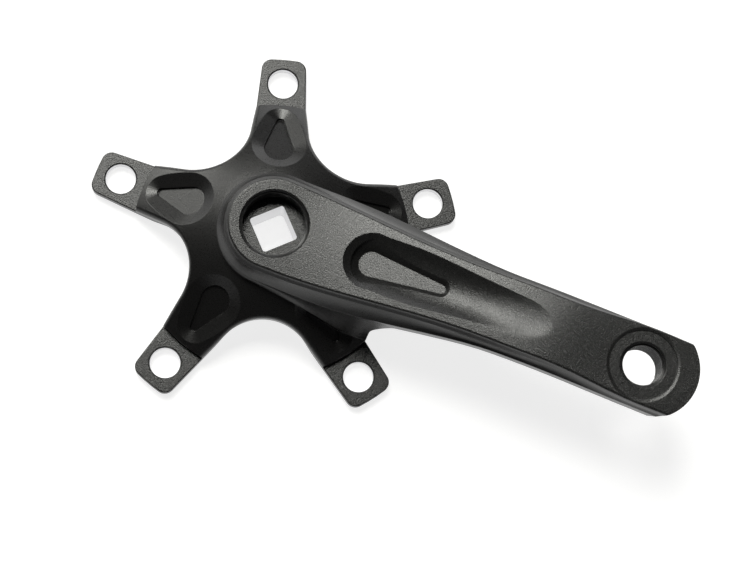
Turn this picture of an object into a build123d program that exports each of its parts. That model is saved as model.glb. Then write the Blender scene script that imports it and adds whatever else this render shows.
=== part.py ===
from build123d import *
from math import acos, asin, atan2, ceil, cos, degrees, radians, sin, sqrt, tan
import os

# A forged bicycle crank arm with a five-arm chainring spider, in one piece.
# Millimetres. Z is the spindle axis, outboard up. X runs along the arm to the pedal hole.
# The origin is on the spindle axis, level with the chainring seats on the spider's tabs.

# Crank and its standard interfaces
crank_length = 127.0
bolt_circle = 110.0
bolt_hole = 10.2
bolt_hole_chamfer = 0.4
taper_side = 12.2
taper_angle = 2.0
taper_corner = 1.0
taper_turn = 45.0
extractor_thread = 22.0
extractor_depth = 8.3
extractor_chamfer = 0.5
pedal_thread = 14.29
pedal_chamfer = 0.5
spot_face = 22.4
spot_face_depth = 0.5
spot_face_step = 0.25
spot_face_lead = 1.0

# Heights above the chainring seats
hub_face = 26.1
pedal_face = 37.8
hub_back = 0.5

# Arm: face, flanks and thickness from the hub to the pedal eye
rise_start = 8.0
rise_to_eye = 24.0
hub_face_radius = 15.3
waist_half = 11.0
waist_from_hub = 72.0
eye_face_half = 12.6
eye_swell = 27.0
hub_radius = 18.6
neck_start = 20.0
neck_to_eye = 43.0
shank_half = 13.25
eye_half = 13.4
hub_thickness = 16.0
eye_thickness = 12.3
face_bow = 0.25
face_bow_run = 20.0
face_bow_to_eye = 15.0
edge_round = 0.8
lip_depth = 1.9
lip_draft = 1.0
eye_lip_draft = 0.15
lip_fade = 60.0
hub_shoulder = 6.8
eye_shoulder = 4.3
hub_flute = 0.25
flute_depth = 0.6
flute_start = 40.0
flute_end = 108.0
hub_under_draft = 2.6
under_draft = 0.4
under_draft_run = 36.0
under_round = 2.0
eye_end_radius = 16.4
eye_end_offset = 2.2
eye_end_draft = 11.0
station_pitch = 12.0

# Scoop in the arm's face, with a flat floor sunk into it
scoop_radius = 15.0
scoop_depth = 3.4
scoop_start = 33.0
scoop_fade_start = 42.0
scoop_fade_to_eye = 23.0
scoop_lift = 0.03
scoop_flare = 45.0
scoop_flare_start = 66.0
scoop_flare_run = 60.0
arm_floor_start = 34.0
arm_floor_radius = 4.2
arm_floor_end = 58.5
arm_floor_tip = 1.5
arm_floor_step = 0.9
arm_floor_draft = 45.0

# Spider: a dished crown and five arms that end in flat tabs
arm_count = 5
tab_thickness = 4.0
tab_inside_bolts = 8.3
tab_root_half = 8.5
tab_tip_half = 7.5
arm_side_half = 8.4
tab_past_bolts = 8.7
tab_corner = 3.5
tab_edge_round = 0.4
back_round = 1.2
arm_flare = 3.0
gap_round = 17.5
gap_draft = 7.0
seat_step = 2.2
crown_height = 16.3
crown_bow = 1.3
crown_round_share = 0.73
crown_foot = 2.0
boss_radius = 16.0
dish_top = 9.0
dish_margin = 3.7
dish_round = 3.0

# Pockets in the spider's arms: the web covers part of the two beside the crank arm
pocket_middle = 35.8
pocket_length = 12.2
pocket_radius = 5.0
pocket_tip = 1.4
pocket_wall_run = 3.4
pocket_wall_rise = 1.2
pocket_depth = 2.9
pocket_step = 0.8

# Web that joins the crank arm to the spider
web_hub_half = 18.8
web_flare = 0.074
web_hollow = 0.5
web_ledge = 0.15
web_sink = 5.0
web_notch_round = 8.0

near = 0.01
arm_spacing = 360.0 / arm_count
tab_root_radius = bolt_circle / 2.0 - tab_inside_bolts
tab_tip_radius = bolt_circle / 2.0 + tab_past_bolts
crown_round = crown_round_share * seat_step
dish_radius = tab_root_radius - dish_margin
reach = crank_length + tab_tip_radius


def ease(x, start, end):
    """Rise from 0 at start to 1 at end, level at both ends."""
    share = min(max((x - start) / (end - start), 0.0), 1.0)
    return share * share * (3.0 - 2.0 * share)


def blend(x, start, end, first, last):
    """Run from first to last between two places along the arm."""
    return first + (last - first) * ease(x, start, end)


def face_height(x):
    """Height of the arm's face."""
    return blend(x, rise_start, crank_length - rise_to_eye, hub_face, pedal_face)


def face_half(x):
    """Half width of the arm's face."""
    waist = blend(x, 0.0, waist_from_hub, hub_face_radius, waist_half)
    return waist + blend(x, crank_length - eye_swell, crank_length, 0.0, eye_face_half - waist_half)


def face_rise(x):
    """How far the face bows up in its middle: flat at the hub and around the pedal hole."""
    near_eye = ease(x, crank_length - eye_swell, crank_length - face_bow_to_eye)
    return face_bow * ease(x, 0.0, face_bow_run) * (1.0 - near_eye)


def shoulder_half(x):
    """Half width of the arm at its parting line."""
    shank = blend(x, neck_start, crank_length - neck_to_eye, hub_radius, shank_half)
    return shank + blend(x, crank_length - eye_swell, crank_length, 0.0, eye_half - shank_half)


def arm_thickness(x):
    """Thickness of the arm from its face to its underside."""
    return blend(x, rise_start, crank_length - rise_to_eye, hub_thickness, eye_thickness)


def shoulder_depth(x):
    """Depth of the parting line below the face."""
    return blend(x, rise_start, crank_length - rise_to_eye, hub_shoulder, eye_shoulder)


def lip_lean(x):
    """How far the face's lip leans out: less towards the pedal eye."""
    return blend(x, crank_length - lip_fade, crank_length, lip_draft, eye_lip_draft)


def under_lean(x):
    """How far the flank leans in below the parting line: more at the hub, where the web covers it."""
    return blend(x, 0.0, under_draft_run, hub_under_draft, under_draft)


def flute(x):
    """Hollow of the flank between the face's lip and the parting line."""
    middle = (flute_start + flute_end) / 2.0
    return hub_flute + (flute_depth - hub_flute) * ease(x, flute_start, middle) * ease(x, flute_end, middle)


def crown_at(radius):
    """Height of the crown's slope, which bows above a straight cone."""
    share = (radius - hub_radius) / (tab_root_radius - hub_radius)
    return crown_height + (seat_step - crown_height) * share + 4.0 * crown_bow * share * (1.0 - share)


def crown_slope():
    """Mean fall of the crown in degrees."""
    return degrees(atan2(crown_height - seat_step, tab_root_radius - hub_radius))


def flank(x, side):
    """Edges of one flank of the arm's section, from the face down to the underside."""
    top = face_height(x)
    half = face_half(x)
    wide = shoulder_half(x)
    part = top - shoulder_depth(x)
    low = top - arm_thickness(x)
    bulge = edge_round * (1.0 - sqrt(0.5))
    under_bulge = under_round * (1.0 - sqrt(0.5))
    inner = wide - under_lean(x)
    lip = half + lip_lean(x)

    def at(v, z):
        return Vector(x, side * v, z)

    chord_v = wide - lip
    chord_z = part - top + lip_depth
    chord = sqrt(chord_v * chord_v + chord_z * chord_z)
    middle_v = (wide + lip) / 2.0 + flute(x) * chord_z / chord
    middle_z = (part + top - lip_depth) / 2.0 - flute(x) * chord_v / chord
    return [
        ThreePointArc(
            at(half - edge_round, top),
            at(half - bulge, top - bulge),
            at(half, top - edge_round),
        ),
        Line(at(half, top - edge_round), at(lip, top - lip_depth)),
        ThreePointArc(at(lip, top - lip_depth), at(middle_v, middle_z), at(wide, part)),
        Line(at(wide, part), at(inner, low + under_round)),
        ThreePointArc(
            at(inner, low + under_round),
            at(inner - under_bulge, low + under_bulge),
            at(inner - under_round, low),
        ),
    ]


def closed_face(edges):
    """Flat face inside a closed run of edges."""
    return make_face(Wire(edges))


def arm_section(x):
    """Whole section of the arm at one station."""
    right = flank(x, 1)
    left = flank(x, -1)
    top = Line(left[0] @ 0, right[0] @ 0)
    if face_rise(x) > near:
        top = ThreePointArc(left[0] @ 0, Vector(x, 0.0, face_height(x) + face_rise(x)), right[0] @ 0)
    bottom = Line(right[-1] @ 1, left[-1] @ 1)
    return closed_face([top, *right, bottom, *reversed(left)])


def turned_end(edges):
    """Round end about the spindle axis: one side of a section, turned through half a circle."""
    crown = Vector(0.0, 0.0, (edges[0] @ 0).Z)
    foot = Vector(0.0, 0.0, (edges[-1] @ 1).Z)
    half = closed_face([Line(crown, edges[0] @ 0), *edges, Line(edges[-1] @ 1, foot), Line(foot, crown)])
    return turn_half(half)


def stations(start, end, pitch=station_pitch):
    """Evenly spaced places along the arm."""
    count = ceil((end - start) / pitch)
    return [start + (end - start) * i / count for i in range(count + 1)]


def turn_half(section, x=0.0):
    """Half section turned through half a circle, away from the pedal."""
    return revolve(section, axis=Axis((x, 0.0, 0.0), (0.0, 0.0, 1.0)), revolution_arc=180.0)


def make_arm():
    """Arm with its round hub end and a drafted pedal end, round about the pedal's axis."""
    past_eye = crank_length + eye_end_offset + eye_end_radius + station_pitch
    arm = loft([arm_section(x) for x in stations(0.0, past_eye)]) + turned_end(flank(0.0, 1))
    fall = tan(radians(eye_end_draft))
    deep = 2.0 * eye_thickness
    eye = Cone(eye_end_radius - fall * deep, eye_end_radius + fall * deep, 2.0 * deep)
    past = Pos(reach / 2.0, 0.0, 0.0) * Box(reach, reach, 2.0 * deep)
    return arm - Pos(crank_length + eye_end_offset, 0.0, pedal_face) * (past - eye)


def tab_root():
    """Angle from the middle of a gap to a tab's root corner."""
    return radians(arm_spacing / 2.0) - asin(tab_root_half / tab_root_radius)


def web_end():
    """Where the web ends along the arm: level with the roots of the two tabs beside it."""
    return tab_root_radius * cos(tab_root())


def web_tip():
    """Where the web has run out into the arm's flanks."""
    return web_end() + web_notch_round


def web_side(x, side):
    """Edges of one side of the web's section, from under the arm's shoulder, flaring to the spider."""
    part = face_height(x) - shoulder_depth(x)
    top_half = shoulder_half(x) - web_ledge
    root = min(x, web_end())
    foot_half = min(web_hub_half + web_flare * root, sqrt(tab_root_radius ** 2 - root ** 2))
    foot_half = blend(x, web_end(), web_tip(), foot_half, shoulder_half(x) - under_draft - web_ledge)
    foot = crown_at(min(sqrt(root ** 2 + foot_half ** 2), tab_root_radius))

    def at(v, z):
        return Vector(x, side * v, z)

    return [
        Line(at(top_half - web_ledge, part + web_ledge), at(top_half, part)),
        ThreePointArc(
            at(top_half, part),
            at((top_half + foot_half) / 2.0 - web_hollow, (part + foot) / 2.0 - web_hollow),
            at(foot_half, foot),
        ),
        Line(at(foot_half, foot), at(foot_half, foot - web_sink)),
    ]


def web_section(x):
    """Whole section of the web at one station."""
    right = web_side(x, 1)
    left = web_side(x, -1)
    top = Line(left[0] @ 0, right[0] @ 0)
    bottom = Line(right[-1] @ 1, left[-1] @ 1)
    return closed_face([top, *right, bottom, *reversed(left)])


def web_notch():
    """Cutter that ends the web beside the tabs and rounds it up into the arm's underside."""
    foot = web_end()
    tip = web_tip()
    under = face_height(tip) - arm_thickness(tip) + web_ledge
    with BuildSketch(Plane.XZ) as side:
        with BuildLine():
            RadiusArc((foot, under - web_notch_round), (tip, under), web_notch_round)
            Polyline((tip, under), (reach, under), (reach, -reach), (foot, -reach))
            Line((foot, -reach), (foot, under - web_notch_round))
        make_face()
    return extrude(side.sketch, amount=reach, both=True)


def make_web():
    """Web between the arm's underside and the spider, with its round end about the hub."""
    block = loft([web_section(x) for x in stations(0.0, web_end())])
    run_out = loft([web_section(x) for x in stations(web_end(), web_tip(), web_notch_round / 4.0)])
    return block + turned_end(web_side(0.0, 1)) + (run_out - web_notch())


def tip_along(half):
    """Distance along a tab to its tip's corner."""
    return sqrt(tab_tip_radius ** 2 - half ** 2)


def spider_outline():
    """Plan of the spider: five tabs, four rounded gaps and a straight edge under the crank arm."""
    root_along = sqrt(tab_root_radius ** 2 - tab_root_half ** 2)
    lean = radians(arm_spacing / 2.0 + arm_flare)
    notch = tab_root_radius * (cos(tab_root()) - sin(tab_root()) / tan(lean))
    edges = []
    last = None
    for k in range(arm_count):
        turn = Rot(0.0, 0.0, arm_spacing * (k + 0.5))
        low_half = arm_side_half if k == 0 else tab_tip_half
        high_half = arm_side_half if k == arm_count - 1 else tab_tip_half
        tab = [
            turn * Pos(root_along, -tab_root_half),
            turn * Pos(tip_along(low_half), -low_half),
            turn * Pos(tab_tip_radius, 0.0),
            turn * Pos(tip_along(high_half), high_half),
            turn * Pos(root_along, tab_root_half),
        ]
        tab = [place.position for place in tab]
        if last is None:
            first = tab[0]
        else:
            gap = (Rot(0.0, 0.0, arm_spacing * k) * Pos(notch, 0.0)).position
            edges += [Line(last, gap), Line(gap, tab[0])]
        edges += [Line(tab[0], tab[1]), ThreePointArc(tab[1], tab[2], tab[3]), Line(tab[3], tab[4])]
        last = tab[4]
    edges.append(Line(last, first))
    plan = closed_face(edges)
    notches = plan.vertices().filter_by(lambda v: abs(Vector(v).length - notch) < near)
    plan = fillet(notches, gap_round)
    corners = plan.vertices().filter_by(lambda v: abs(Vector(v).length - tab_tip_radius) < near)
    return fillet(corners, tab_corner)


def make_crown(plan):
    """Crown that falls from the hub to the chainring seats, its gaps drafted towards the back."""
    middle = (hub_radius + tab_root_radius) / 2.0
    with BuildSketch(Plane.XZ) as profile:
        with BuildLine():
            Polyline((tab_root_radius, seat_step), (tab_root_radius, -crown_foot), (0.0, -crown_foot))
            Polyline((0.0, -crown_foot), (0.0, crown_height), (hub_radius, crown_height))
            ThreePointArc(
                (hub_radius, crown_height),
                (middle, crown_at(middle)),
                (tab_root_radius, seat_step),
            )
        make_face()
    bell = revolve(profile.sketch, axis=Axis.Z)
    upper = extrude(plan, amount=crown_height, taper=-gap_draft)
    lower = extrude(plan, amount=-crown_foot)
    within = Pos(web_end() - reach / 2.0, 0.0, 0.0) * Box(reach, reach, reach)
    crown = (upper + lower) & bell & within
    return fillet(crown_rim(crown), crown_round)


def crown_rim(crown):
    """Edges where the crown's slope meets the walls of the gaps."""
    def is_rim(edge):
        place = edge @ 0.5
        radius = sqrt(place.X ** 2 + place.Y ** 2)
        on_slope = abs(place.Z - crown_at(radius)) < 10.0 * near
        open_side = hub_radius < radius < tab_root_radius - near
        return on_slope and open_side and place.X < web_end() - near

    return crown.edges().filter_by(is_rim)


def make_spider():
    """Spider: a flat plate with the tabs, and the crown on it with a pocket in each arm."""
    plan = spider_outline()
    plate = extrude(plan, amount=-tab_thickness)
    plate = fillet(plate.faces().sort_by(Axis.Z)[-1].edges(), tab_edge_round)
    plate = fillet(plate.faces().sort_by(Axis.Z)[0].edges(), back_round)
    spider = plate + make_crown(plan)
    for k in range(arm_count):
        spider -= Rot(0.0, 0.0, arm_spacing * (k + 0.5)) * pocket_tool()
    return spider


def dish_tool():
    """Cutter for the dish in the spider's back, around the hub's boss."""
    slope_end = dish_radius + tab_thickness
    fall = (dish_top + tab_thickness) / (dish_radius - boss_radius)
    low = -tab_thickness - fall * tab_thickness
    with BuildSketch(Plane.XZ) as profile:
        with BuildLine():
            Polyline((boss_radius, low), (boss_radius, dish_top), (slope_end, low), (boss_radius, low))
        make_face()
        fillet(profile.vertices().sort_by(Axis.Y)[-1], dish_round)
    boss = Pos(0.0, 0.0, hub_back) * extrude(Circle(boss_radius + near), amount=-reach)
    return revolve(profile.sketch, axis=Axis.Z) + boss


def teardrop(start, radius, end, tip):
    """Plan of a pocket: two rounds of different size joined by straight sides, along X."""
    lean = acos((radius - tip) / (end - start))
    big = Vector(start + radius * cos(lean), radius * sin(lean))
    small = Vector(end + tip * cos(lean), tip * sin(lean))
    big_low = Vector(big.X, -big.Y)
    small_low = Vector(small.X, -small.Y)
    return closed_face([
        ThreePointArc(big, Vector(start - radius, 0.0), big_low),
        Line(big_low, small_low),
        ThreePointArc(small_low, Vector(end + tip, 0.0), small),
        Line(small, big),
    ])


def pocket_tool():
    """Cutter for one spider pocket, along X: sloping walls, a small step and a flat floor."""
    start = -pocket_length / 2.0
    end = pocket_length / 2.0
    floor = teardrop(start, pocket_radius, end, pocket_tip)
    rim_run = 3.0 * pocket_wall_run
    rim_rise = 3.0 * pocket_wall_rise
    rim = teardrop(start, pocket_radius + rim_run, end, pocket_tip + rim_run)
    walls = loft([Pos(0.0, 0.0, pocket_step) * floor, Pos(0.0, 0.0, pocket_step + rim_rise) * rim])
    place = Pos(pocket_middle, 0.0, crown_at(pocket_middle)) * Rot(0.0, crown_slope(), 0.0)
    return place * Pos(0.0, 0.0, -pocket_depth) * (extrude(floor, amount=pocket_step) + walls)


def scoop_bottom(x):
    """Height of the scoop's lowest line."""
    fade = 1.0 - ease(x, scoop_fade_start, crank_length - scoop_fade_to_eye)
    top = face_height(x) + face_rise(x)
    return top - (scoop_depth + face_bow) * fade + scoop_lift


def scoop_round(x):
    """Radius of the scoop across the arm: it opens out as it rises to the face."""
    return blend(x, scoop_flare_start, scoop_flare_start + scoop_flare_run, scoop_radius, scoop_radius + scoop_flare)


def make_scoop():
    """Cutter for the scoop in the arm's face: a ball that runs along the arm, opens out and rises out of it."""
    def centre(x):
        return Vector(x, 0.0, scoop_bottom(x) + scoop_round(x))

    def disc(x):
        return Plane(centre(x), x_dir=(0.0, 1.0, 0.0), z_dir=(1.0, 0.0, 0.0)) * Circle(scoop_round(x))

    trough = loft([disc(x) for x in stations(scoop_start, crank_length - scoop_fade_to_eye)])
    top = centre(scoop_start) + Vector(0.0, 0.0, scoop_radius)
    low = centre(scoop_start) - Vector(0.0, 0.0, scoop_radius)
    side = centre(scoop_start) + Vector(0.0, scoop_radius, 0.0)
    ball = turn_half(closed_face([ThreePointArc(low, side, top), Line(top, low)]), scoop_start)
    return trough + ball


def arm_floor_tool():
    """Cutter for the flat floor sunk into the scoop, with sloping walls around it."""
    rise = scoop_bottom(arm_floor_end) - scoop_bottom(arm_floor_start)
    tilt = degrees(atan2(rise, arm_floor_end - arm_floor_start))
    middle = (arm_floor_start + arm_floor_end) / 2.0
    floor = teardrop(arm_floor_start, arm_floor_radius, arm_floor_end, arm_floor_tip)
    sunk = Pos(middle, 0.0, scoop_bottom(middle) - arm_floor_step) * Rot(0.0, -tilt, 0.0)
    return sunk * Pos(-middle, 0.0, 0.0) * extrude(floor, amount=scoop_depth, taper=-arm_floor_draft)


def hole_tool(diameter, chamfer, low, high):
    """Cutter for a round hole from low to high with a chamfer at both faces."""
    radius = diameter / 2.0
    with BuildSketch(Plane.XZ) as profile:
        with BuildLine():
            Polyline(
                (0.0, low - chamfer),
                (radius + 2.0 * chamfer, low - chamfer),
                (radius, low + chamfer),
                (radius, high - chamfer),
                (radius + 2.0 * chamfer, high + chamfer),
                (0.0, high + chamfer),
                close=True,
            )
        make_face()
    return revolve(profile.sketch, axis=Axis.Z)


def extractor_tool():
    """Cutter for the extractor bore: a flat floor below and a chamfer at the hub's face."""
    radius = extractor_thread / 2.0
    with BuildSketch(Plane.XZ) as profile:
        with BuildLine():
            Polyline(
                (0.0, hub_face - extractor_depth),
                (radius, hub_face - extractor_depth),
                (radius, hub_face - extractor_chamfer),
                (radius + 2.0 * extractor_chamfer, hub_face + extractor_chamfer),
                (0.0, hub_face + extractor_chamfer),
                close=True,
            )
        make_face()
    return revolve(profile.sketch, axis=Axis.Z)


def taper_tool():
    """Cutter for the square taper, one corner along the arm, widening towards the back."""
    square = RectangleRounded(taper_side, taper_side, taper_corner)
    depth = hub_face - extractor_depth - hub_back
    mouth = Pos(0.0, 0.0, hub_face - extractor_depth) * Rot(0.0, 0.0, taper_turn) * square
    return extrude(mouth, amount=-depth - tab_thickness, taper=-taper_angle)


def spot_face_tool():
    """Cutter for the spot face around the pedal hole, its rim eased into the arm's face."""
    radius = spot_face / 2.0
    rim = spot_face_depth - spot_face_step
    with BuildSketch(Plane.XZ) as profile:
        with BuildLine():
            Polyline(
                (0.0, -spot_face_depth),
                (radius, -spot_face_depth),
                (radius, -rim),
                (radius + 2.0 * spot_face_lead, rim),
                (0.0, rim),
                close=True,
            )
        make_face()
    return revolve(profile.sketch, axis=Axis.Z)


def pedal_tool():
    """Cutter for the pedal hole and the spot face around it."""
    hole = hole_tool(pedal_thread, pedal_chamfer, -eye_thickness, -spot_face_depth)
    return Pos(crank_length, 0.0, pedal_face) * (hole + spot_face_tool())


def bolt_tools():
    """Cutters for the chainring bolt holes, one in each tab."""
    hole = Pos(bolt_circle / 2.0, 0.0, 0.0) * hole_tool(bolt_hole, bolt_hole_chamfer, -tab_thickness, 0.0)
    return [Rot(0.0, 0.0, arm_spacing * (k + 0.5)) * hole for k in range(arm_count)]


def make_crank():
    """The whole forging with its machined holes."""
    crank = make_spider() + make_web() + make_arm()
    crank -= dish_tool()
    crank -= make_scoop()
    crank -= arm_floor_tool()
    crank -= extractor_tool()
    crank -= taper_tool()
    crank -= pedal_tool()
    for tool in bolt_tools():
        crank -= tool
    return crank


os.makedirs("parts", exist_ok=True)
crank_arm = make_crank()
export_step(crank_arm, "parts/crank_arm.step")
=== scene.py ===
import logging
import math
from dataclasses import dataclass, field
from enum import Enum
from typing import Any, Union

import bmesh
import bpy
from mathutils import Matrix, Vector


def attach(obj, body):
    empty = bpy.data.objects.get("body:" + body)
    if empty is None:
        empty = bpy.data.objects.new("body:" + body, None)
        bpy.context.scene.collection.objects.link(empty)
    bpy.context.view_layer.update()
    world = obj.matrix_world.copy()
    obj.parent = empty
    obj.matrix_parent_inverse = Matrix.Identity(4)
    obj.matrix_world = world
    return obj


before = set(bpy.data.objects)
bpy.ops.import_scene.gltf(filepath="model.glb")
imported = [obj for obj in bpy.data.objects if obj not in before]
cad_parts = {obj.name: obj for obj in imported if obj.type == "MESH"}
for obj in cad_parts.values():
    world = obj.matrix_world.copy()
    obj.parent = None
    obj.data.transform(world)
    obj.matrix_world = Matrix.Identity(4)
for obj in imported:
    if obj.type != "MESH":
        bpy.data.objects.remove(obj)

log = logging.getLogger("crank_scene")

MM = 0.001
BODY = "root"
EDGE_SAMPLES = 4
NOISE_MEAN = 0.5

Number = Union[int, float]
Colour = tuple[float, float, float]
Point = tuple[float, float, float]
Span = tuple[float, float]

WHITE: Colour = (1.0, 1.0, 1.0)
WARM_WHITE: Colour = (1.0, 1.0, 0.95)


class Signal:
    """One value socket of a material, with arithmetic that adds Math nodes."""

    def __init__(self, graph: "Graph", socket: Any) -> None:
        """Wrap a socket of a graph.

        Args:
            graph: The graph that new nodes go into.
            socket: The output socket that carries the value.
        """
        self.graph = graph
        self.socket = socket

    def _math(self, operation: str, first: Any, second: Any = None, third: Any = None) -> "Signal":
        """Add one Math node.

        Args:
            operation: The Math node's operation.
            first: First operand, a signal or a number.
            second: Second operand, if the operation has one.
            third: Third operand, if the operation has one.

        Returns:
            The node's result.
        """
        values = {i: v for i, v in enumerate((first, second, third)) if v is not None}
        return self.graph.signal("ShaderNodeMath", {"operation": operation}, values)

    def __add__(self, other: Any) -> "Signal":
        """Sum."""
        return self._math("ADD", self, other)

    def __radd__(self, other: Number) -> "Signal":
        """Sum with a number first."""
        return self._math("ADD", other, self)

    def __sub__(self, other: Any) -> "Signal":
        """Difference."""
        return self._math("SUBTRACT", self, other)

    def __rsub__(self, other: Number) -> "Signal":
        """Difference from a number."""
        return self._math("SUBTRACT", other, self)

    def __mul__(self, other: Any) -> "Signal":
        """Product."""
        return self._math("MULTIPLY", self, other)

    def __rmul__(self, other: Number) -> "Signal":
        """Product with a number first."""
        return self._math("MULTIPLY", other, self)

    def __abs__(self) -> "Signal":
        """Size without sign."""
        return self._math("ABSOLUTE", self)

    def least(self, other: Any) -> "Signal":
        """Smaller of two values."""
        return self._math("MINIMUM", self, other)

    def most(self, other: Any) -> "Signal":
        """Larger of two values."""
        return self._math("MAXIMUM", self, other)

    def root(self) -> "Signal":
        """Square root."""
        return self._math("SQRT", self)

    def cosine(self) -> "Signal":
        """Cosine of an angle in radians."""
        return self._math("COSINE", self)

    def sine(self) -> "Signal":
        """Sine of an angle in radians."""
        return self._math("SINE", self)

    def angle_from(self, along: "Signal") -> "Signal":
        """Angle whose rise is this value and whose run is another."""
        return self._math("ARCTAN2", self, along)

    def wrapped(self, low: float, high: float) -> "Signal":
        """Value folded into a range that repeats."""
        return self._math("WRAP", self, high, low)

    def eased(self, start: float, end: float, first: float = 0.0, last: float = 1.0) -> "Signal":
        """Run from one value to another, level at both ends.

        Args:
            start: Where the run starts.
            end: Where the run ends.
            first: Value before the start.
            last: Value after the end.

        Returns:
            The eased value.
        """
        settings = {"interpolation_type": "SMOOTHSTEP", "clamp": True}
        inputs = {0: self, 1: start, 2: end, 3: first, 4: last}
        return self.graph.signal("ShaderNodeMapRange", settings, inputs)


class Graph:
    """Node tree of one material."""

    def __init__(self, name: str) -> None:
        """Start an empty material.

        Args:
            name: Name of the material.
        """
        self.material = bpy.data.materials.new(name)
        self.material.use_nodes = True
        self.tree = self.material.node_tree
        self.tree.nodes.clear()

    def node(self, kind: str, settings: dict[str, Any], inputs: dict[Any, Any]) -> Any:
        """Add a node.

        Args:
            kind: The node's type.
            settings: Properties of the node, set first.
            inputs: Values or links of its sockets, by name or index.

        Returns:
            The new node.
        """
        made = self.tree.nodes.new(kind)
        for key, value in settings.items():
            setattr(made, key, value)
        for key, value in inputs.items():
            if isinstance(value, Signal):
                value = value.socket
            if isinstance(value, bpy.types.NodeSocket):
                self.tree.links.new(value, made.inputs[key])
            else:
                made.inputs[key].default_value = value
        return made

    def signal(self, kind: str, settings: dict[str, Any], inputs: dict[Any, Any], output: Any = 0) -> Signal:
        """Add a node and wrap one of its outputs.

        Args:
            kind: The node's type.
            settings: Properties of the node.
            inputs: Values or links of its sockets.
            output: Name or index of the output.

        Returns:
            The wrapped output.
        """
        return Signal(self, self.node(kind, settings, inputs).outputs[output])

    def mix(self, share: Any, first: Any, second: Any) -> Any:
        """Mix two colours.

        Args:
            share: How much of the second colour shows.
            first: First colour or link.
            second: Second colour or link.

        Returns:
            The mixed colour's socket.
        """
        def full(value: Any) -> Any:
            """A colour with its alpha."""
            return (*value, 1.0) if isinstance(value, tuple) and len(value) == 3 else value

        inputs = {0: share, 6: full(first), 7: full(second)}
        return self.node("ShaderNodeMix", {"data_type": "RGBA"}, inputs).outputs[2]

    def blend(self, share: Any, first: Any, second: Any) -> Any:
        """Mix two vectors.

        Args:
            share: How much of the second vector counts.
            first: First vector's link.
            second: Second vector's link.

        Returns:
            The mixed vector's socket.
        """
        inputs = {0: share, 4: first, 5: second}
        return self.node("ShaderNodeMix", {"data_type": "VECTOR"}, inputs).outputs[1]

    def round_edges(self, radius: float) -> Any:
        """Normal of the surface with its edges rounded.

        Args:
            radius: Radius of the rounds in millimetres.

        Returns:
            The normal's socket.
        """
        return self.node("ShaderNodeBevel", {"samples": EDGE_SAMPLES}, {"Radius": radius * MM}).outputs[0]

    def finish(self, shader: Any) -> bpy.types.Material:
        """Lead a shader to the material's output.

        Args:
            shader: The shader node.

        Returns:
            The finished material.
        """
        self.node("ShaderNodeOutputMaterial", {}, {0: shader.outputs[0]})
        return self.material


@dataclass(frozen=True)
class Place:
    """Where a shaded point lies on the object, in millimetres, and which way it faces.

    The coordinates of the noise are turned, so that no flat face lies along its lattice.
    """

    graph: Graph
    coords: Any
    x: Signal
    y: Signal
    z: Signal
    up: Signal

    @staticmethod
    def of(graph: Graph) -> "Place":
        """Read the object's own coordinates.

        Args:
            graph: The material's graph.

        Returns:
            The place of the shaded point.
        """
        lattice_turn = (0.7, 0.4, 0.2)
        source = graph.node("ShaderNodeTexCoord", {}, {})
        scaled = graph.node(
            "ShaderNodeVectorMath", {"operation": "SCALE"},
            {0: source.outputs["Object"], "Scale": 1.0 / MM},
        ).outputs[0]
        turned = graph.node(
            "ShaderNodeVectorRotate", {"rotation_type": "EULER_XYZ"},
            {"Vector": scaled, "Rotation": lattice_turn},
        )
        split = graph.node("ShaderNodeSeparateXYZ", {}, {0: scaled})
        facing = graph.node("ShaderNodeSeparateXYZ", {}, {0: source.outputs["Normal"]})
        axes = [Signal(graph, split.outputs[i]) for i in range(3)]
        return Place(graph, turned.outputs[0], *axes, Signal(graph, facing.outputs[2]))

    def radius(self) -> Signal:
        """Distance from the spindle axis."""
        return (self.x * self.x + self.y * self.y).root()

    def noise(self, size: float, detail: float = 2.0, rough: float = 0.5) -> Signal:
        """Even noise.

        Args:
            size: Width of its blotches in millimetres.
            detail: Octaves on top.
            rough: Strength of each next octave.

        Returns:
            The noise, about NOISE_MEAN.
        """
        inputs = {"Vector": self.coords, "Scale": 1.0 / size, "Detail": detail, "Roughness": rough}
        return self.graph.signal("ShaderNodeTexNoise", {"noise_dimensions": "3D"}, inputs, "Fac")


@dataclass(frozen=True)
class CoatLook:
    """One grade of the black coat."""

    colour: Colour
    roughness: float
    roughness_spread: float
    grain_depth: float


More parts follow.
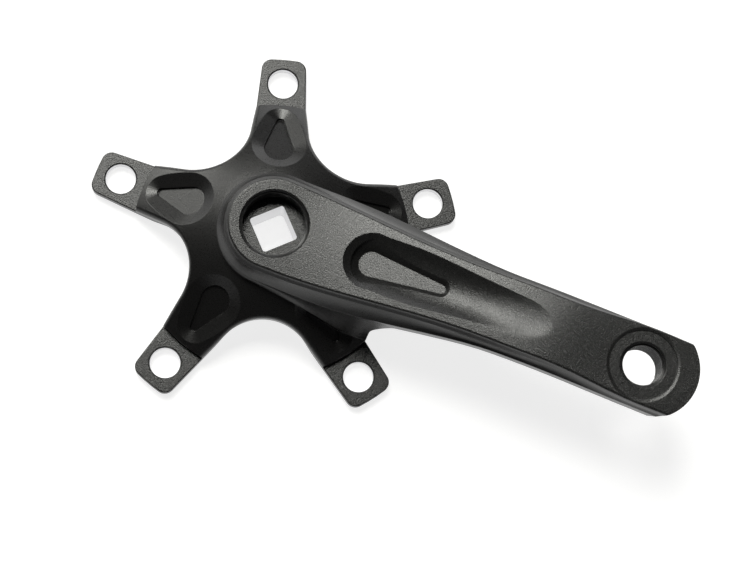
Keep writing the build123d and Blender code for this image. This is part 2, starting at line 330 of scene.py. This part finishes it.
@dataclass(frozen=True)
class CoatFinish:
    """Black coat over the forging: blasted on the outboard faces, satin elsewhere, bare in machined holes.

    Places and lengths are millimetres, and a slope is how far the surface's normal points outboard. A span
    runs from where a share starts to where it is full.
    """

    blasted: CoatLook = CoatLook(
        colour=(0.010, 0.010, 0.0098), roughness=0.30, roughness_spread=0.25, grain_depth=1.0
    )
    satin: CoatLook = CoatLook(
        colour=(0.006, 0.0058, 0.0058), roughness=0.31, roughness_spread=0.04, grain_depth=0.40
    )
    bare_colour: Colour = (0.74, 0.74, 0.75)
    bare_roughness: float = 0.30
    bare_grain: float = 0.10

    # Grain of the coat with a painted sparkle on its tops, clouds in its gloss, and along its edges wear of
    # a thinner coat mixed with a painted highlight
    grain: float = 0.30
    grain_detail: float = 1.0
    grain_height: float = 0.075
    grain_tops: Span = (0.45, 0.75)
    # Share of painted sparkle (glints) that lightens the grain tops on blasted faces
    grain_sparkle_paint: float = 0.25
    cloud: float = 14.0
    cloud_detail: float = 3.0
    edge_radius: float = 0.32
    edge_turn: Span = (0.01, 0.22)
    # Lighter coat colour, used on the edges (partly wear of a thinner coat, partly a painted highlight) and
    # on the grain tops (painted sparkle)
    wear_and_sheen_colour: Colour = (0.06, 0.06, 0.06)
    edge_wear_and_highlight: float = 0.12
    edge_polish: float = 0.03

    # The blasted face: its height and half width along the arm, and how deep the scoop goes
    hub_face: float = 26.1
    pedal_face: float = 37.8
    rise: Span = (8.0, 103.0)
    half_hub: float = 15.3
    half_waist: float = 11.0
    half_eye: float = 12.6
    waist_at: float = 72.0
    swell: Span = (100.0, 127.0)
    face_border: Span = (-0.35, 0.05)
    face_slope: Span = (0.15, 0.45)
    scoop_reach: float = 5.6

    # The end of the scoop, where its edge melts into the face
    melt_radius: float = 2.5
    melt_start: Span = (70.0, 84.0)
    melt_end: Span = (112.0, 106.0)
    melt_half: Span = (9.5, 8.0)
    melt_lower: Span = (3.0, -1.0)
    melt_across: Span = (94.0, 100.0)

    # Seats, bore, square and bolt holes
    tab_root: float = 46.7
    tab_top: Span = (0.5, 0.2)
    seat_slope: Span = (0.5, 0.8)
    bore_radius: float = 11.0
    bore_floor: float = 17.6
    square_reach: float = 9.4
    arm_count: int = 5
    bolt_radius: float = 55.0
    hole_reach: float = 5.9
    wall_slope: Span = (0.5, 0.35)

    # How far one finish fades into the next
    coat_fade: float = 0.3
    bore_fade: float = 0.2
    hole_fade: float = 0.1

    def face_share(self, at: Place) -> Signal:
        """Blasted outboard face of the arm, with its scoop.

        Args:
            at: Place of the shaded point.

        Returns:
            1 on the face, 0 off it.
        """
        height = at.x.eased(*self.rise, self.hub_face, self.pedal_face)
        half = at.x.eased(0.0, self.waist_at, self.half_hub, self.half_waist)
        half = half + at.x.eased(*self.swell, 0.0, self.half_eye - self.half_waist)
        behind = at.x.least(0.0)
        across = (behind * behind + at.y * at.y).root()
        inside = (half - across).eased(*self.face_border)
        shallow = (height - at.z).eased(self.scoop_reach + self.coat_fade, self.scoop_reach)
        return inside * shallow * at.up.eased(*self.face_slope)

    def melt_share(self, at: Place) -> Signal:
        """End of the scoop, which melts into the face, first on its lower side.

        Args:
            at: Place of the shaded point.

        Returns:
            1 where the scoop has no edge, 0 elsewhere.
        """
        side = at.y.eased(*self.melt_lower).most(at.x.eased(*self.melt_across))
        within = abs(at.y).eased(*self.melt_half) * at.x.eased(*self.melt_end)
        return at.x.eased(*self.melt_start) * side * within

    def seat_share(self, at: Place) -> Signal:
        """Blasted faces of the spider's tabs and the floor of the hub's bore.

        Args:
            at: Place of the shaded point.

        Returns:
            1 on those faces, 0 off them.
        """
        radius = at.radius()
        tabs = radius.eased(self.tab_root - self.coat_fade, self.tab_root) * at.z.eased(*self.tab_top)
        floor = radius.eased(self.bore_radius + self.bore_fade, self.bore_radius)
        floor = floor * at.z.eased(self.bore_floor - self.bore_fade, self.bore_floor)
        return (tabs + floor).least(1.0) * at.up.eased(*self.seat_slope)

    def bare_share(self, at: Place) -> Signal:
        """Walls that were cut after the coat: the square and the chainring bolt holes.

        Args:
            at: Place of the shaded point.

        Returns:
            1 on bare metal, 0 on the coat.
        """
        radius = at.radius()
        square = radius.eased(self.square_reach, self.square_reach - self.bore_fade)
        square = square * at.z.eased(self.bore_floor + self.bore_fade, self.bore_floor)
        spacing = math.tau / self.arm_count
        turn = at.y.angle_from(at.x).wrapped(0.0, spacing) - spacing / 2.0
        along = radius * turn.cosine() - self.bolt_radius
        across = radius * turn.sine()
        away = (along * along + across * across).root()
        holes = away.eased(self.hole_reach, self.hole_reach - self.hole_fade)
        return (square + holes).least(1.0) * abs(at.up).eased(*self.wall_slope)

    def make(self) -> bpy.types.Material:
        """Build the material.

        Returns:
            The coat's material.
        """
        graph = Graph("black_coat_forging")
        at = Place.of(graph)
        blast = (self.face_share(at) + self.seat_share(at)).least(1.0)
        bare = self.bare_share(at)
        fine = at.noise(self.grain, self.grain_detail)
        soft = at.noise(self.cloud, self.cloud_detail)

        crisp = graph.round_edges(self.edge_radius)
        rounded = graph.blend(self.melt_share(at), crisp, graph.round_edges(self.melt_radius))
        true = graph.node("ShaderNodeNewGeometry", {}, {}).outputs["Normal"]
        facing = graph.signal(
            "ShaderNodeVectorMath", {"operation": "DOT_PRODUCT"}, {0: crisp, 1: true}, "Value"
        )
        edge = (1.0 - facing).eased(*self.edge_turn)

        colour = graph.mix(blast, self.satin.colour, self.blasted.colour)
        # Painted sparkle: the grain tops on blasted faces are lightened toward the lighter coat colour
        painted_sparkle = fine.eased(*self.grain_tops) * blast * self.grain_sparkle_paint
        colour = graph.mix(painted_sparkle, colour, self.wear_and_sheen_colour)
        # Edges lightened: partly wear of a thinner coat, partly a painted highlight
        colour = graph.mix(edge * self.edge_wear_and_highlight, colour, self.wear_and_sheen_colour)
        colour = graph.mix(bare, colour, self.bare_colour)

        roughness = self.satin.roughness + (self.blasted.roughness - self.satin.roughness) * blast
        roughness = roughness + (soft - NOISE_MEAN) * self.satin.roughness_spread
        roughness = roughness + (fine - NOISE_MEAN) * self.blasted.roughness_spread
        roughness = roughness - edge * self.edge_polish
        roughness = roughness * (1.0 - bare) + self.bare_roughness * bare

        depth = self.satin.grain_depth + (self.blasted.grain_depth - self.satin.grain_depth) * blast
        height = fine * depth * (1.0 - bare * (1.0 - self.bare_grain))
        bump = graph.node(
            "ShaderNodeBump", {},
            {"Strength": 1.0, "Distance": self.grain_height * MM, "Height": height, "Normal": rounded},
        )
        shader = graph.node(
            "ShaderNodeBsdfPrincipled", {},
            {"Base Color": colour, "Roughness": roughness, "Metallic": bare, "Normal": bump.outputs[0]},
        )
        return graph.finish(shader)


@dataclass(frozen=True)
class ThreadFinish:
    """Coat on the thread's ridges, thinner along the crests. Lengths are millimetres."""

    colour: Colour = (0.018, 0.018, 0.018)
    crest_colour: Colour = (0.16, 0.16, 0.16)
    crest_share: float = 0.35
    crest_wear: float = 0.5
    wear_patch: float = 1.2
    wear_detail: float = 3.0
    wear_span: Span = (0.35, 0.7)
    roughness: float = 0.32
    roughness_spread: float = 0.2
    roughness_patch: float = 0.5
    grain: float = 0.25
    grain_height: float = 0.02
    grain_strength: float = 0.4

    def make(self, name: str, axis_x: float, major: float, minor: float) -> bpy.types.Material:
        """Build the material of one thread.

        Args:
            name: Name of the material.
            axis_x: Where the thread's axis lies along the arm, in millimetres.
            major: Radius at the ridges' foot.
            minor: Radius at the crests.

        Returns:
            The thread's material.
        """
        graph = Graph(name)
        at = Place.of(graph)
        out = at.x - axis_x
        radius = (out * out + at.y * at.y).root()
        crest = radius.eased(minor + self.crest_share * (major - minor), minor)
        wear = crest * at.noise(self.wear_patch, self.wear_detail).eased(*self.wear_span)
        colour = graph.mix(wear * self.crest_wear, self.colour, self.crest_colour)
        patches = at.noise(self.roughness_patch) - NOISE_MEAN
        roughness = self.roughness + patches * self.roughness_spread
        fine = at.noise(self.grain)
        bump = graph.node(
            "ShaderNodeBump", {},
            {"Strength": self.grain_strength, "Distance": self.grain_height * MM, "Height": fine},
        )
        shader = graph.node(
            "ShaderNodeBsdfPrincipled", {},
            {"Base Color": colour, "Roughness": roughness, "Normal": bump.outputs[0]},
        )
        return graph.finish(shader)


@dataclass(frozen=True)
class FloorFinish:
    """Plain pale paper, bright as in a light tent."""

    colour: Colour = (0.40, 0.40, 0.40)
    shade: Colour = (0.38, 0.38, 0.38)
    shade_share: float = 0.15
    shade_patch: float = 60.0
    roughness: float = 0.9
    gloss: float = 0.1
    glow: float = 0.80

    def make(self) -> bpy.types.Material:
        """Build the material.

        Returns:
            The floor's material.
        """
        graph = Graph("pale_paper")
        at = Place.of(graph)
        tone = graph.mix(at.noise(self.shade_patch) * self.shade_share, self.colour, self.shade)
        shader = graph.node(
            "ShaderNodeBsdfPrincipled", {},
            {
                "Base Color": tone, "Roughness": self.roughness, "Specular IOR Level": self.gloss,
                "Emission Color": (*WHITE, 1.0), "Emission Strength": self.glow,
            },
        )
        return graph.finish(shader)


class Hand(Enum):
    """Which way a thread winds."""

    RIGHT = 1
    LEFT = -1


def add_piece(name: str, mesh: bmesh.types.BMesh, material: bpy.types.Material) -> bpy.types.Object:
    """Turn a bmesh into an object at the origin.

    Args:
        name: Name of the piece.
        mesh: The finished bmesh, which is freed.
        material: The piece's material.

    Returns:
        The new object.
    """
    data = bpy.data.meshes.new(name)
    mesh.to_mesh(data)
    mesh.free()
    data.materials.append(material)
    made = bpy.data.objects.new(name, data)
    bpy.context.scene.collection.objects.link(made)
    return made


@dataclass
class Thread:
    """Helical ridges of an internal thread, standing on the wall of a plain bore.

    Sizes are millimetres, and shares are of the pitch.
    """

    name: str
    axis_x: float
    major: float
    pitch: float
    low: float
    high: float
    hand: Hand = Hand.RIGHT
    steps: int = 72
    sink: float = 0.04
    lead: float = 0.5
    foot_share: float = 0.47
    crest_share: float = 0.12
    depth_share: float = 0.5413
    finish: ThreadFinish = field(default_factory=ThreadFinish)

    def foot(self) -> float:
        """Radius at which the ridges are sunk into the wall."""
        return self.major + self.sink

    def minor(self) -> float:
        """Radius at the crests of a 60 degree thread."""
        return self.major - self.depth_share * self.pitch

    def profile(self, mesh: bmesh.types.BMesh) -> list[Any]:
        """Draw one ridge's section at the start of the thread.

        Args:
            mesh: The bmesh to draw in.

        Returns:
            The section's vertices and edges.
        """
        foot = self.foot()
        crest = self.minor()
        half_foot = self.foot_share * self.pitch
        half_crest = self.crest_share * self.pitch
        start = self.low + half_foot
        shape = ((foot, -half_foot), (crest, -half_crest), (crest, half_crest), (foot, half_foot))
        verts = [mesh.verts.new(((self.axis_x + r) * MM, 0.0, (start + z) * MM)) for r, z in shape]
        edges = [mesh.edges.new((verts[i], verts[(i + 1) % len(verts)])) for i in range(len(verts))]
        return [*verts, *edges]

    @staticmethod
    def cap(mesh: bmesh.types.BMesh, section: list[Any]) -> None:
        """Close the ridge with a face over the section at one of its ends."""
        mesh.faces.new([part for part in section if isinstance(part, bmesh.types.BMVert)])

    def wind(self, mesh: bmesh.types.BMesh) -> None:
        """Sweep the section up the bore along its helix, closed at both ends.

        Args:
            mesh: The empty bmesh to build in.
        """
        turns = (self.high - self.low) / self.pitch - 2.0 * self.foot_share
        count = int(self.steps * turns)
        section = self.profile(mesh)
        self.cap(mesh, section)
        swept = bmesh.ops.spin(
            mesh, geom=section, cent=(self.axis_x * MM, 0.0, 0.0), axis=(0.0, 0.0, 1.0),
            dvec=(0.0, 0.0, self.pitch * turns / count * MM), angle=self.hand.value * math.tau * turns,
            space=Matrix.Identity(4), steps=count,
            use_merge=False, use_normal_flip=False, use_duplicate=False,
        )
        self.cap(mesh, swept["geom_last"])

    def ease_ends(self, mesh: bmesh.types.BMesh) -> None:
        """Run the ridges out into the wall at both ends, as the mouth's chamfer cuts them.

        Args:
            mesh: The wound thread.
        """
        for vert in mesh.verts:
            arm = Vector((vert.co.x - self.axis_x * MM, vert.co.y))
            height = vert.co.z / MM
            near = min(height - self.low, self.high - height) / self.lead
            share = min(max(near, 0.0), 1.0)
            crest = self.foot() - (self.foot() - self.minor()) * share
            if arm.length < crest * MM:
                arm = arm.normalized() * crest * MM
                vert.co.x = arm.x + self.axis_x * MM
                vert.co.y = arm.y

    def build(self) -> bpy.types.Object:
        """Make the thread and fix it to the crank.

        Returns:
            The thread's object.
        """
        mesh = bmesh.new()
        self.wind(mesh)
        self.ease_ends(mesh)
        bmesh.ops.recalc_face_normals(mesh, faces=mesh.faces)
        material = self.finish.make(f"{self.name}_coat", self.axis_x, self.major, self.minor())
        made = add_piece(self.name, mesh, material)
        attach(made, BODY)
        log.info("%s: %d faces", made.name, len(made.data.polygons))
        return made


@dataclass
class Forging:
    """The crank arm itself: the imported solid, dressed in its coat."""

    node: str = "crank_arm"
    finish: CoatFinish = field(default_factory=CoatFinish)

    def dress(self) -> bpy.types.Object:
        """Give the solid its finish.

        Returns:
            The dressed node.
        """
        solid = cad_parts[self.node]
        solid.data.materials.clear()
        solid.data.materials.append(self.finish.make())
        log.info("%s: %d faces", solid.name, len(solid.data.polygons))
        return solid


@dataclass
class Softbox:
    """A soft rectangular lamp, aimed at one point of the crank. Metres and degrees."""

    name: str
    azimuth: float
    elevation: float
    distance: float
    size: Span
    brightness: float
    colour: Colour = WHITE
    aim: Point = (0.035, 0.0, 0.015)

    def place(self) -> Vector:
        """Work out where the lamp stands.

        Returns:
            The middle of the lamp's face.
        """
        flat = math.cos(math.radians(self.elevation))
        turn = math.radians(self.azimuth)
        rise = math.sin(math.radians(self.elevation))
        way = Vector((flat * math.cos(turn), flat * math.sin(turn), rise))
        return Vector(self.aim) + way * self.distance

    def build(self) -> bpy.types.Object:
        """Add the lamp, its power set so that its face has the stated brightness.

        Returns:
            The lamp's object.
        """
        lamp = bpy.data.lights.new(self.name, "AREA")
        lamp.shape = "RECTANGLE"
        lamp.size, lamp.size_y = self.size
        lamp.energy = self.brightness * math.pi * self.size[0] * self.size[1]
        lamp.color = self.colour
        made = bpy.data.objects.new(self.name, lamp)
        made.location = self.place()
        made.rotation_mode = "QUATERNION"
        made.rotation_quaternion = (Vector(self.aim) - self.place()).to_track_quat("-Z", "Y")
        bpy.context.scene.collection.objects.link(made)
        log.info("lamp %s", made.name)
        return made


@dataclass
class Studio:
    """Pale floor, soft lamps and the camera. Metres, but millimetres for the lens and its sensor."""

    floor_height: float = -0.00402
    floor_half: float = 3.0
    ambient: float = 0.025
    floor: FloorFinish = field(default_factory=FloorFinish)
    lamps: tuple[Softbox, ...] = (
        Softbox(
            "key", azimuth=127.0, elevation=60.0, distance=2.4,
            size=(0.99, 1.08), brightness=15.0, colour=WARM_WHITE,
        ),
        Softbox(
            "side", azimuth=156.0, elevation=22.0, distance=2.4,
            size=(1.20, 1.24), brightness=5.0, colour=WARM_WHITE,
        ),
        Softbox(
            "front_card", azimuth=-61.0, elevation=8.4, distance=1.5,
            size=(3.98, 0.64), brightness=0.25,
        ),
        Softbox(
            "back_card", azimuth=95.0, elevation=7.0, distance=2.0,
            size=(1.8, 0.45), brightness=2.8,
        ),
    )

    eye: Point = (0.0306018, -0.1343470, 0.6412454)
    right: Point = (0.926716, 0.365565, 0.086945)
    up: Point = (-0.375608, 0.907830, 0.186447)
    forward: Point = (0.010773, 0.205441, -0.978610)
    lens: float = 92.88
    sensor: float = 36.0
    clip: Span = (0.01, 20.0)

    def build_floor(self) -> None:
        """Lay the floor under the crank's tabs."""
        mesh = bmesh.new()
        bmesh.ops.create_grid(mesh, x_segments=1, y_segments=1, size=self.floor_half)
        bmesh.ops.translate(mesh, verts=mesh.verts, vec=(0.0, 0.0, self.floor_height))
        add_piece("floor", mesh, self.floor.make())

    def light(self) -> None:
        """Set the room's even light and the lamps."""
        world = bpy.data.worlds.new("room")
        world.use_nodes = True
        room = world.node_tree.nodes["Background"]
        room.inputs["Color"].default_value = (*WHITE, 1.0)
        room.inputs["Strength"].default_value = self.ambient
        bpy.context.scene.world = world
        for lamp in self.lamps:
            lamp.build()

    def point_camera(self) -> None:
        """Put the camera where the photograph was taken from."""
        lens = bpy.data.cameras.new("camera")
        lens.lens = self.lens
        lens.sensor_fit = "HORIZONTAL"
        lens.sensor_width = self.sensor
        lens.clip_start, lens.clip_end = self.clip
        made = bpy.data.objects.new("camera", lens)
        turn = Matrix((self.right, self.up, -Vector(self.forward))).transposed().to_4x4()
        made.matrix_world = Matrix.Translation(self.eye) @ turn
        bpy.context.scene.collection.objects.link(made)
        bpy.context.scene.camera = made

    def build(self) -> None:
        """Set up the whole studio."""
        self.build_floor()
        self.light()
        self.point_camera()
        view = bpy.context.scene.view_settings
        view.view_transform = "Standard"
        view.look = "None"
        log.info("studio ready")


def main() -> None:
    """Dress the crank, add its threads and set up the studio."""
    logging.basicConfig(level=logging.INFO, format="%(message)s")
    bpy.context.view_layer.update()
    Forging().dress()
    Thread("extractor_thread", axis_x=0.0, major=11.0, pitch=1.0, low=17.85, high=25.9).build()
    Thread("pedal_thread", axis_x=127.0, major=7.145, pitch=1.27, low=25.6, high=37.0).build()
    Studio().build()


if __name__ == "__main__":
    main()
